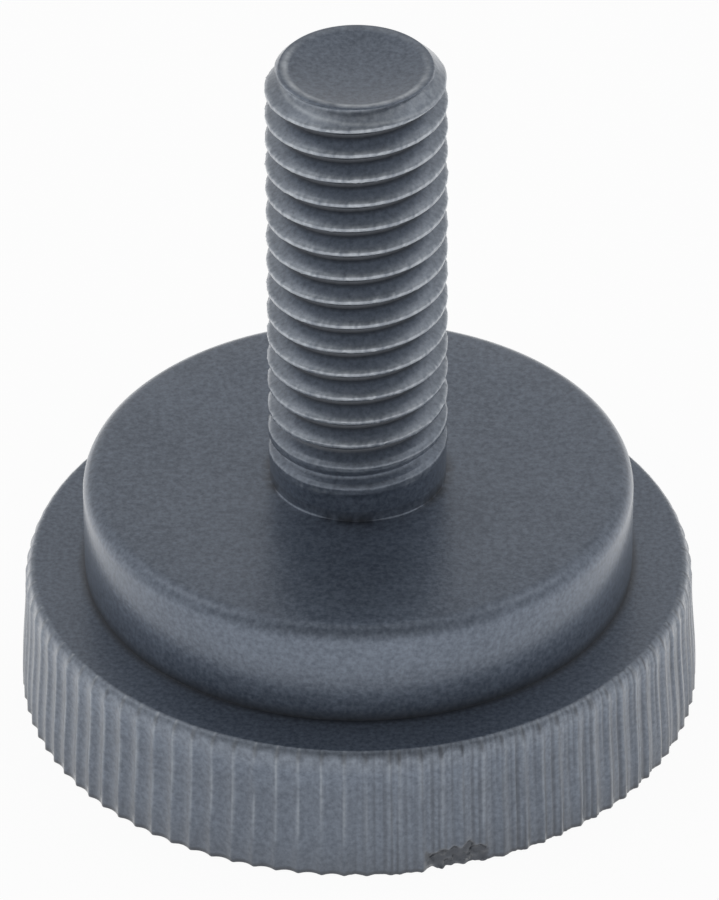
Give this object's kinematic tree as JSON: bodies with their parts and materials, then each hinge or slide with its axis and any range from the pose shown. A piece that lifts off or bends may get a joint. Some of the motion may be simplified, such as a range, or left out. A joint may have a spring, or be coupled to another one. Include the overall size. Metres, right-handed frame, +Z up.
{
  "type": "threaded equipment foot",
  "caption": "Round knurled foot with a plain stepped collar and an upright threaded stud, turned from blackened steel; it screws into the underside of equipment.",
  "frame": {"origin": "centre of the underside, on the stud's axis", "axes": "+Z up the stud, from the knurled foot to the stud's free end; +X and +Y lie across the foot and have no preferred direction"},
  "size_m": [0.0298, 0.0298, 0.032],
  "materials": {
    "blackened_steel": "fine-grained satin black-oxide finish, worn pale on the thread crests and the knurl's ridges"
  },
  "bodies": {
    "root": {"threaded_foot": "blackened_steel"}
  },
  "joints": []
}
